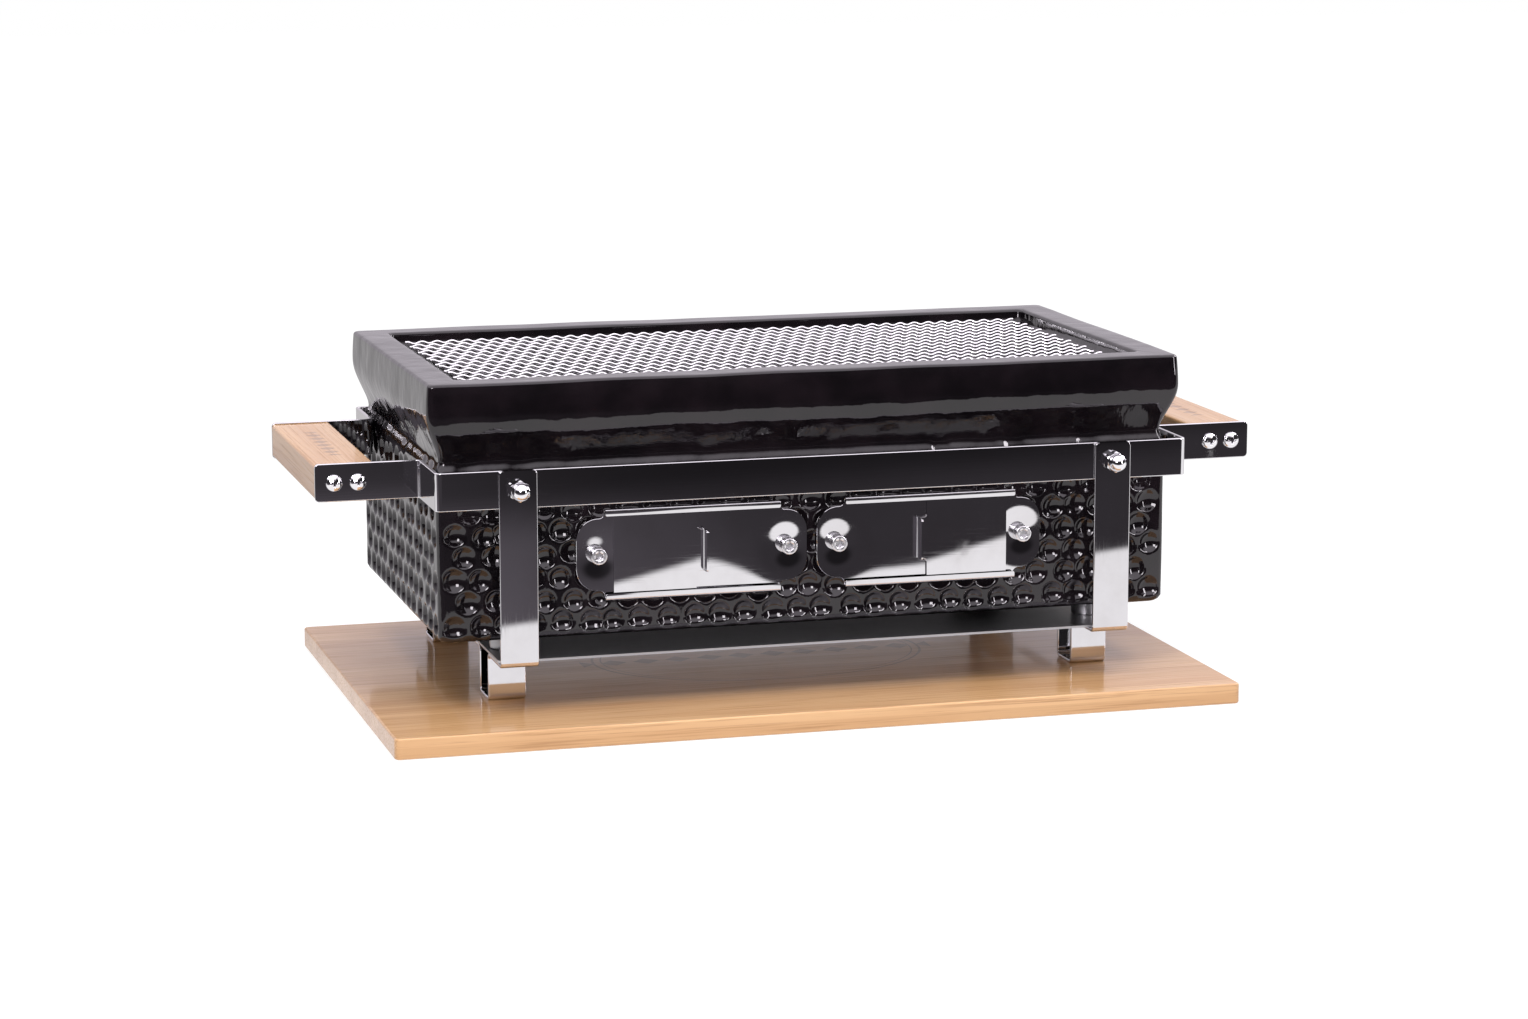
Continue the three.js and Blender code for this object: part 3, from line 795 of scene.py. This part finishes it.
def vent_plate(side_name, material):
    """A folded plate with a rail along its top and bottom, two ears and a window behind the door."""
    node = "vent_plate_" + side_name
    place = vent_place(side_name)
    half_span, reach, lip = VENT_HALF_HEIGHT, 4 * MM, 3.5 * MM
    half = SHEET / 2
    path = [(-half_span + lip, reach - half), (-half_span + half, reach - half),
            (-half_span + half, half), (half_span - half, half),
            (half_span - half, reach - half), (half_span - lip, reach - half)]
    line = bent_line(path, 1 * MM, 5)
    widths = even_widths(line, VENT_HALF_LENGTH, 0.8 * MM)
    lean = lambda y, z: 0.09 * (half_span - y) if y > 0 and z > reach / 2 else 0
    channel = strip(line, widths, SHEET, SHEET_EDGE, lambda y, z, x: place(x, y, z - lean(y, z)))
    piece = mesh_object(node + "_folded", channel)
    for direction in (-1, 1):
        rings = []
        for height, inset in ((0, SHEET_EDGE), (SHEET_EDGE, 0),
                              (SHEET - SHEET_EDGE, 0), (SHEET, SHEET_EDGE)):
            rings.append([place(direction * x, y, height) for x, y in ear_outline(inset)])
        cut(piece, mesh_object("ear", skin(rings)), "UNION")
    window = [[place(WINDOW_CENTRE + WINDOW_HALF * x, WINDOW_HALF * y, z) for x, y in SQUARE]
              for z in (-1 * MM, 2 * MM)]
    cut(piece, mesh_object("window", skin(window)))
    finish_piece(piece, "firebox", material, node)


def vent_door(side_name, material):
    """A sheet behind the rails whose tongue is bent out as a finger tab."""
    node = "vent_door_" + side_name
    place = vent_place(side_name)
    half = SHEET / 2
    back = SHEET + 0.4 * MM
    outer, inner, tip = 42.7 * MM, -1.7 * MM, -6.7 * MM
    sheet_half, tongue_half, fillet, tab_reach = 22.6 * MM, 11 * MM, 2.5 * MM, 7 * MM
    line = bent_line([(outer, back + half), (tip + half, back + half), (tip + half, back + tab_reach)],
                     1 * MM, 6)
    shoulder = outer - inner
    widths = round_corner(0, sheet_half, 0.8 * MM, False)
    widths += round_corner(shoulder, sheet_half, 0.8 * MM, True)
    for step in range(1, 7):
        angle = QUARTER * step / 6
        widths.append((shoulder + fillet * (1 - math.cos(angle)),
                       tongue_half + fillet * (1 - math.sin(angle))))
    widths += round_corner(strip_length(line), tongue_half, 1.5 * MM, True)
    part = strip(line, widths, SHEET, SHEET_EDGE, lambda x, z, y: place(x, y, z))
    piece = mesh_object(node + "_folded", part)
    finish_piece(piece, side_name + "_door", material, node)


# ---- Cooking mesh ----

def wire(length, radius, wave, wave_length, place):
    """A crimped wire of that length along its own axis, its crimps wave * cos."""
    steps = round(length / WIRE_STEP)
    along = np.linspace(-length / 2, length / 2, steps + 1)
    turn = 2 * math.pi / wave_length
    height = wave * np.cos(turn * along)
    slope = np.arctan(-wave * turn * np.sin(turn * along))
    rings = []
    for t, h, tilt in zip(along, height, slope):
        ring = []
        for k in range(WIRE_SIDES):
            angle = 2 * math.pi * (k + 0.5) / WIRE_SIDES
            side, up = radius * math.cos(angle), radius * math.sin(angle)
            ring.append(place(t - up * math.sin(tilt), side, h + up * math.cos(tilt)))
        rings.append(ring)
    return skin(rings)


def cooking_mesh(material):
    """Crimped wires from side to side, resting in turn on every other straight wire under them."""
    low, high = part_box("grill_mesh")
    middle = (low + high) / 2
    size = high - low
    under = low.z + CROSS_WIRE_RADIUS
    level = under + CROSS_WIRE_RADIUS + LONG_WIRE_RADIUS + WIRE_WAVE
    pitch_x = (size.x - 4 * CROSS_WIRE_RADIUS) / (CROSS_WIRES - 1)
    pitch_y = (size.y - 2 * LONG_WIRE_RADIUS) / (LONG_WIRES - 1)
    wave_length = 2 * pitch_x / HALF_WAVES_PER_CROSSING
    parts = []
    for j in range(LONG_WIRES):
        y = middle.y + (j - (LONG_WIRES - 1) / 2) * pitch_y
        parts.append(wire(size.x, LONG_WIRE_RADIUS, WIRE_WAVE * (-1) ** j, wave_length,
                          lambda t, side, up: (middle.x + t, y + side, level + up)))
    for i in range(CROSS_WIRES):
        x = middle.x + (i - (CROSS_WIRES - 1) / 2) * pitch_x
        parts.append(wire(size.y, CROSS_WIRE_RADIUS, 0, size.y,
                          lambda t, side, up: (x + side, middle.y + t, under + up)))
    piece = mesh_object("grill_mesh_wires", joined(parts))
    finish_piece(piece, "cooking_mesh", material, "grill_mesh", sharp=60, flat=False)


# ---- Firebox ----

def wall_columns(half_width, half_depth, radius, spacing):
    """Columns round the firebox: the corner weights and the outward normal of each."""
    columns = []
    for side in range(4):
        start, end = SQUARE[side], SQUARE[(side + 1) % 4]
        angle = (side - 1) * QUARTER
        straight = 2 * ((half_width if side % 2 == 0 else half_depth) - radius)
        for share in np.linspace(0, 1, round(straight / spacing) + 1)[:-1]:
            columns.append((start[0] + (end[0] - start[0]) * share,
                            start[1] + (end[1] - start[1]) * share,
                            math.cos(angle), math.sin(angle)))
        for turn in np.linspace(0, QUARTER, 7)[:-1]:
            columns.append((*end, math.cos(angle + turn), math.sin(angle + turn)))
    return np.array(columns)


def firebox_rows(bottom, top):
    """The wall's section from the middle of its underside, up the outside, over the rim and down
    the stepped inside, as (offset, height, dimple share, wave share)."""
    wall_low = bottom + FOOT_HEIGHT
    wall_top = top - WALL_TOP_DEPTH
    neck = top - NECK_DEPTH
    bulge_at = top - BULGE_DEPTH
    rows = [(CAP_OFFSET, bottom, 0, 0), (-6 * MM, bottom, 0, 0), (-4 * MM, bottom + 0.1 * MM, 0, 0.3),
            (-FOOT_INSET, bottom + 0.7 * MM, 0, 0.4), (-1.1 * MM, bottom + 1.9 * MM, 0.3, 0.6)]
    for z in np.linspace(wall_low, wall_top, round((wall_top - wall_low) / WALL_STEP) + 1):
        rows.append((0, z, 1, 1))
    for share in np.linspace(0, 1, 8)[1:]:
        rows.append((NECK_OFFSET * (1 - math.cos(math.pi * share)) / 2,
                     wall_top + (neck - wall_top) * share, 1, 1))
    for share in np.linspace(0, 1, 21)[1:]:
        offset = NECK_OFFSET + (BULGE - NECK_OFFSET) * math.sin(share * QUARTER) ** 1.5
        height = neck + (bulge_at - neck) * share
        rows.append((offset, height, 1 if height < neck + 6 * MM else 0, 1))
    for share in np.linspace(0, 1, 8)[1:-1]:
        offset = BULGE + (RIM_OUTER - BULGE) * share ** 2
        rows.append((offset, bulge_at + (top - RIM_ROUNDING - bulge_at) * share, 0, 1))
    for angle in np.linspace(0, QUARTER, 7):
        rows.append((RIM_OUTER - RIM_ROUNDING * (1 - math.cos(angle)),
                     top - RIM_ROUNDING * (1 - math.sin(angle)), 0, 1))
    for offset in np.linspace(RIM_OUTER - RIM_ROUNDING, RIM_INNER + RIM_ROUNDING, 8)[1:-1]:
        rows.append((offset, top, 0, 1))
    for angle in np.linspace(QUARTER, 0, 6):
        rows.append((RIM_INNER + RIM_ROUNDING * (1 - math.cos(angle)),
                     top - RIM_ROUNDING * (1 - math.sin(angle)), 0, 0.7 * angle / QUARTER))
    mesh_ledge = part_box("grill_mesh")[0].z
    grate_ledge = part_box("charcoal_grate")[0].z
    pit_floor = bottom + PIT_FLOOR_RISE
    soft = 0.8 * MM
    rows += [(RIM_INNER, mesh_ledge + soft, 0, 0), (RIM_INNER - soft, mesh_ledge, 0, 0)]
    rows += [(CHAMBER + soft, mesh_ledge, 0, 0), (CHAMBER, mesh_ledge - soft, 0, 0)]
    rows += [(CHAMBER, grate_ledge + soft, 0, 0), (CHAMBER - soft, grate_ledge, 0, 0)]
    rows += [(ASH_PIT + soft, grate_ledge, 0, 0), (ASH_PIT, grate_ledge - soft, 0, 0)]
    rows += [(ASH_PIT, pit_floor + 2 * MM, 0, 0), (ASH_PIT - 2 * MM, pit_floor, 0, 0)]
    rows += [(CAP_OFFSET, pit_floor, 0, 0)]
    return np.array(rows)


def dimple_places(half_length, bottom):
    """Where a face's dimples are: (place along it, height, radius, depth), unevenly staggered."""
    reach = half_length - DIMPLE_FROM_CORNER
    per_row = round(2 * reach / DIMPLE_PITCH)
    step = 2 * reach / per_row
    for row in range(DIMPLE_ROWS):
        height = bottom + DIMPLE_FIRST_ROW + row * DIMPLE_ROW_SPACING
        top_row = row == DIMPLE_ROWS - 1
        for k in range(per_row + 1 - row % 2):
            if top_row and random.random() < 0.65:
                continue
            faint = random.uniform(0.12, 0.3) if top_row else 1.0
            along = -reach + (k + 0.5 * (row % 2)) * step + random.uniform(-1, 1) * DIMPLE_SCATTER
            if abs(along) > reach:
                along = math.copysign(reach, along)
            yield (along, height + random.uniform(-0.5, 1) * DIMPLE_SCATTER * min(row + 0.4, 1),
                   DIMPLE_RADIUS * random.uniform(0.92, 1.04),
                   DIMPLE_DEPTH * faint * random.uniform(0.88, 1.05))


def dimple_field(along, heights, half_length, bottom):
    """How far one face is pressed in, for every height and place along it."""
    field = np.zeros((len(heights), len(along)))
    for place, height, radius, depth in dimple_places(half_length, bottom):
        columns = np.nonzero(np.abs(along - place) < radius + 2 * MM)[0]
        rows = np.nonzero(np.abs(heights - height) < radius + 2 * MM)[0]
        window = np.ix_(rows, columns)
        reach = np.hypot(along[columns][None, :] - place, heights[rows][:, None] - height)
        ball = (radius ** 2 + depth ** 2) / (2 * depth)
        inside = np.sqrt(ball ** 2 - np.minimum(reach, radius) ** 2) - (ball - depth)
        slope = radius / (ball - depth)
        pressed = inside - np.maximum(reach - radius, 0) * slope
        lipped = (pressed + np.sqrt(pressed ** 2 + DIMPLE_LIP ** 2)) / 2
        fade = np.clip((radius + 2 * MM - reach) / MM, 0, 1)
        field[window] = np.maximum(field[window], lipped * fade)
    return field


def vent_pad(x, z, centre):
    """The share of full height of the flat pad behind the nearer vent plate."""
    across = np.abs(np.abs(x) - centre.x) + PAD_INSET
    up = np.abs(z - centre.z) + PAD_INSET
    block = np.maximum(across - VENT_HALF_LENGTH, up - VENT_HALF_HEIGHT)
    corner = 10 * MM
    ear_x, ear_y = across - EAR_REACH + corner, up - EAR_HALF_HEIGHT + corner
    ear = np.hypot(np.maximum(ear_x, 0), np.maximum(ear_y, 0)) - corner
    away = np.minimum(block, ear)
    return np.clip(0.5 - away / (1.4 * MM), 0, 1)


def firebox(material):
    low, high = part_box("firebox")
    half_width, half_depth = high.x - BULGE, high.y - BULGE
    columns = wall_columns(half_width, half_depth, WALL_CORNER, WALL_STEP)
    rows = firebox_rows(low.z, high.z)
    weight_x, weight_y, normal_x, normal_y = columns.T
    offsets, heights, dimpled, wavy = rows.T
    wall_x = weight_x * (half_width - WALL_CORNER)
    wall_y = weight_y * (half_depth - WALL_CORNER)

    random.seed(7)
    push = np.zeros((len(rows), len(columns)))
    low_rows = np.nonzero(dimpled > 0)[0]
    walls = ((-normal_y, wall_x, half_width), (normal_x, wall_y, half_depth),
             (normal_y, wall_x, half_width), (-normal_x, wall_y, half_depth))
    for facing, along, half_length in walls:
        face = np.nonzero(facing > 0.999)[0]
        field = dimple_field(along[face], heights[low_rows], half_length, low.z)
        push[np.ix_(low_rows, face)] = -field * dimpled[low_rows][:, None]

    rings = np.zeros((len(rows), len(columns), 3))
    rings[..., 0] = wall_x[None, :] + weight_x[None, :] * offsets[:, None] + WALL_CORNER * normal_x
    rings[..., 1] = wall_y[None, :] + weight_y[None, :] * offsets[:, None] + WALL_CORNER * normal_y
    rings[..., 2] = heights[:, None]
    lift = np.zeros_like(push)
    for i in np.nonzero(wavy > 0)[0]:
        upper = heights[i] > high.z - NECK_DEPTH
        for j in range(len(columns)):
            at = Vector(rings[i, j])
            slow = noise.noise(at * 20) * 0.45 + noise.noise(at * 55 + Vector((9, 4, 2))) * 0.2
            fast = noise.noise(at * 150 + Vector((5, 1, 7))) * 0.06
            push[i, j] += (slow + fast) * wavy[i] * MM * (1 if upper else 0.4)
            if upper:
                lift[i, j] = noise.noise(at * 18 + Vector((3, 8, 1))) * 0.5 * MM * wavy[i]

    pad_middle = middle_of("vent_plate_right")
    pad_rise = -half_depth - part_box("vent_plate_right")[1].y
    share = vent_pad(wall_x[None, :], heights[:, None], pad_middle) * (normal_y < -0.999)[None, :]
    share[dimpled == 0] = 0
    push = push * (1 - share) + pad_rise * share
    rings[..., 0] += push * normal_x
    rings[..., 1] += push * normal_y
    rings[..., 2] += lift
    piece = mesh_object("firebox_glazed", skin(rings))

    for _, side in SIDES:
        middle = side * (pad_middle.x + WINDOW_CENTRE)
        port = [[(middle + PORT_HALF * x, y, pad_middle.z + PORT_HALF * z) for x, z in SQUARE]
                for y in (low.y - 5 * MM, -half_depth - ASH_PIT + 10 * MM)]
        cut(piece, mesh_object("port", skin(port)))
    finish_piece(piece, "firebox", material, "firebox", sharp=75, flat=False)


# ---- Stage ----

def floor():
    """A white table top. In mirrors it ends a little way in front, where the studio is dark."""
    made = bpy.data.materials.new("floor_white")
    graph = Graph(made)
    position = graph.add("NewGeometry").outputs["Position"]
    x, y, _ = graph.add("SeparateXYZ", {"Vector": position}).outputs
    slant = 0.286
    front = graph.plus(y, graph.times(x, slant))
    white_share = graph.ramp(front, -0.43, -0.41)
    squared = graph.plus(graph.math("POWER", x, 2.0), graph.math("POWER", y, 2.0))
    far = graph.ramp(graph.math("SQRT", squared), 0.45, 0.8)
    camera = graph.add("LightPath").outputs["Is Camera Ray"]
    lit = graph.add("BsdfDiffuse", {"Color": (0.30, 0.30, 0.31, 1)})
    glow = graph.emission((1, 1, 1), 0.8)
    near = graph.add("AddShader", {0: lit.outputs[0], 1: glow.outputs[0]})
    blank = graph.emission((1, 1, 1), 1.05)
    seen = graph.add("MixShader", {0: far, 1: near.outputs[0], 2: blank.outputs[0]})
    gloom = graph.times(graph.ramp(x, -0.25, 0.15, 0.15, 0.04),
                        graph.ramp(front, -0.85, -0.62, 0.35, 1.0))
    dark = graph.emission((1, 0.88, 1.02), gloom)
    bright = graph.ramp(y, 0.0, 0.3, 1.1, 0.66)
    white = graph.emission((1, 0.97, 0.99), bright)
    mirrored = graph.add("MixShader", {0: white_share, 1: dark.outputs[0], 2: white.outputs[0]})
    surface = graph.add("MixShader", {0: camera, 1: mirrored.outputs[0], 2: seen.outputs[0]})
    graph.surface(surface.outputs[0])
    size = 6.0
    points = [(-size, -size, 0), (size, -size, 0), (size, size, 0), (-size, size, 0)]
    mesh = bpy.data.meshes.new("floor")
    mesh.from_pydata(points, [], [(0, 1, 2, 3)])
    mesh.materials.append(made)
    plane = new_object("floor", mesh)
    plane.location.z = -0.2 * MM


def studio():
    """White to the camera. In mirrors: a pale wall behind, a bright ceiling and a dark front."""
    world = bpy.data.worlds.new("studio")
    bpy.context.scene.world = world
    graph = Graph(world)
    direction = graph.add("TexCoord").outputs["Generated"]
    _, y, z = graph.add("SeparateXYZ", {"Vector": direction}).outputs
    behind = graph.ramp(y, 0.0, 0.45, 0.03, 0.78)
    overhead = graph.ramp(z, 0.34, 0.62, 0.0, 1.8)
    mirrored = graph.math("MAXIMUM", behind, overhead)
    path = graph.add("LightPath")
    glossy = graph.emission((1, 0.93, 1.02), mirrored, "Background")
    ambient = graph.emission((1, 1, 1), 0.55, "Background")
    shown = graph.emission((1, 1, 1), 1.0, "Background")
    lit = graph.add("MixShader", {0: path.outputs["Is Glossy Ray"], 1: ambient.outputs[0],
                                  2: glossy.outputs[0]})
    all_rays = graph.add("MixShader", {0: path.outputs["Is Camera Ray"], 1: lit.outputs[0],
                                       2: shown.outputs[0]})
    output = graph.add("OutputWorld")
    graph.tree.links.new(all_rays.outputs[0], output.inputs["Surface"])


def softbox(name, azimuth, elevation, distance, width, height, power, mirrored=True):
    """A lamp aimed at the grill, seen only in mirrors or else only lighting it. Angles are in degrees,
    azimuth 0 at -Y and 90 at +X, sizes in metres and power in watts."""
    a, e = math.radians(azimuth), math.radians(elevation)
    away = Vector((math.sin(a) * math.cos(e), -math.cos(a) * math.cos(e), math.sin(e)))
    lamp = bpy.data.lights.new(name, "AREA")
    lamp.shape = "RECTANGLE"
    lamp.size, lamp.size_y = width, height
    lamp.color = (1, 0.94, 1) if mirrored else (1, 1, 1)
    lamp.energy = power
    made = new_object(name, lamp)
    made.location = Vector((0, 0, 0.1)) + away * distance
    made.rotation_euler = away.to_track_quat("Z", "Y").to_euler()
    made.visible_camera = False
    made.visible_glossy = mirrored
    made.visible_diffuse = not mirrored


def lights():
    softbox("right_box", 42, 15, 1.5, 0.16, 0.8, 6)
    softbox("left_box", -27, 23, 1.6, 0.45, 0.45, 9)
    softbox("side_box", 100, 32, 1.4, 0.4, 0.4, 8)
    softbox("top_box", -10, 72, 1.4, 1.6, 1.2, 28, mirrored=False)
    softbox("front_box", -12, 6, 1.6, 0.8, 0.3, 11, mirrored=False)


def camera():
    """The viewing angle: from the front left, a little above the rim."""
    aim = Vector((0.0045, 0, 0.0875))
    azimuth, elevation, distance = math.radians(-16.0), math.radians(10.37), 2.141
    away = Vector((math.sin(azimuth) * math.cos(elevation), -math.cos(azimuth) * math.cos(elevation),
                   math.sin(elevation)))
    lens = bpy.data.cameras.new("camera")
    lens.lens = 91.23
    lens.sensor_width = 36
    made = new_object("camera", lens)
    made.location = aim + away * distance
    made.rotation_mode = "QUATERNION"
    made.rotation_quaternion = away.to_track_quat("Z", "Y")
    bpy.context.scene.camera = made


def build():
    polished_x = steel("polished_steel", ALONG_X, scratch=0.005)
    polished_z = steel("strap_steel", ALONG_Z, base=0.7, low=0.03, high=0.08, wave=0.12,
                       scratch=0.003, smudge=0.08, shape=foot_lean)
    plate_look = steel("vent_steel", ALONG_X, wave=0.2, scratch=0.003, smudge=0.1, shape=plate_shape)
    door_look = steel("door_steel", ALONG_X, wave=0.1, scratch=0.003, smudge=0.1, shape=door_lean)
    satin = steel("satin_steel", ALONG_X, base=0.52, low=0.3, high=0.42, wave=0.1)
    bright = steel("bright_steel", (200, 200, 200), base=0.82, low=0.03, high=0.08, wave=0)
    socket_look = steel("screw_steel", (200, 200, 200), base=0.85, low=0.28, high=0.4, wave=0)
    bare = steel("bare_steel", (60, 60, 60), base=0.32, low=0.3, high=0.6, wave=0.1)
    serving_board(bamboo("board_bamboo", 0, board_marks))
    handle_wood = bamboo("handle_bamboo", 1, handle_marks)
    for side_name, _ in SIDES:
        handle(side_name, handle_wood)
        leg_strap(side_name, polished_z)
        vent_plate(side_name, plate_look)
        vent_door(side_name, door_look)
    for end_name, end in ENDS:
        band(end_name, end, polished_x)
    fasteners(bright, socket_look)
    spacers(bare)
    cooking_mesh(wire_steel())
    firebox(glaze())
    carried = {"heat_shield": satin, "charcoal_grate": bare}
    carried.update({"leg_stud_" + corner: satin for corner in CORNERS})
    for node, material in carried.items():
        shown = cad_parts[node]
        shown.data.materials.clear()
        shown.data.materials.append(material)


build()
floor()
studio()
lights()
camera()
bpy.context.scene.view_settings.view_transform = "Standard"
